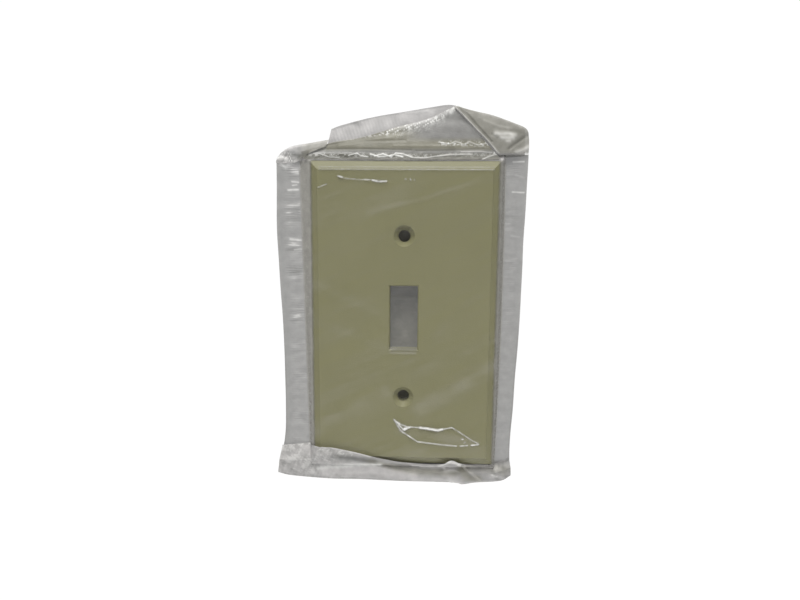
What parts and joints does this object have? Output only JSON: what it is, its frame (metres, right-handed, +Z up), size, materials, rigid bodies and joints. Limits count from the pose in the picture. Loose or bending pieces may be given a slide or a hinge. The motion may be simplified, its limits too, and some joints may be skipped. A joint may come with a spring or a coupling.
{
  "type": "toggle wall plate",
  "caption": "One-gang toggle switch cover plate with bevelled edges, in a sealed clear film pouch with its oval-head mounting screws loose behind it.",
  "frame": {"origin": "midway between the two screw holes, on the plate's back plane, where the wall is", "axes": "+Z up the wall, +X to the right as seen from the room, -Y out of the wall towards the room"},
  "size_m": [0.0945, 0.011, 0.1444],
  "materials": {
    "moulded_plate": "smooth moulded ivory with a soft shine",
    "painted_screw": "ivory enamel over steel",
    "clear_film": "clear, glossy, lightly wrinkled film",
    "welded_film": "two films welded together, puckered and cloudy",
    "creased_film": "creased, layered film with whitened folds"
  },
  "bodies": {
    "packet": {"wall_plate": "moulded_plate", "back_film": "clear_film", "front_film": "clear_film", "left_seal": "welded_film", "right_seal": "welded_film", "bottom_fold": "creased_film"},
    "left_screw": {"left_screw": "painted_screw"},
    "right_screw": {"right_screw": "painted_screw"},
    "top_flap": {"top_flap": "creased_film"}
  },
  "joints": [
    {"name": "left_screw_slide", "type": "slide", "parent": "packet", "child": "left_screw", "axis": [0, 0, 1], "range_m": [0, 0.102]},
    {"name": "right_screw_slide", "type": "slide", "parent": "packet", "child": "right_screw", "axis": [0, 0, 1], "range_m": [0, 0.102]},
    {"name": "flap_fold", "type": "hinge", "parent": "packet", "child": "top_flap", "pos_m": [0, 0, 0.06075], "axis": [1, 0, 0], "range_deg": [-90, 90]}
  ]
}
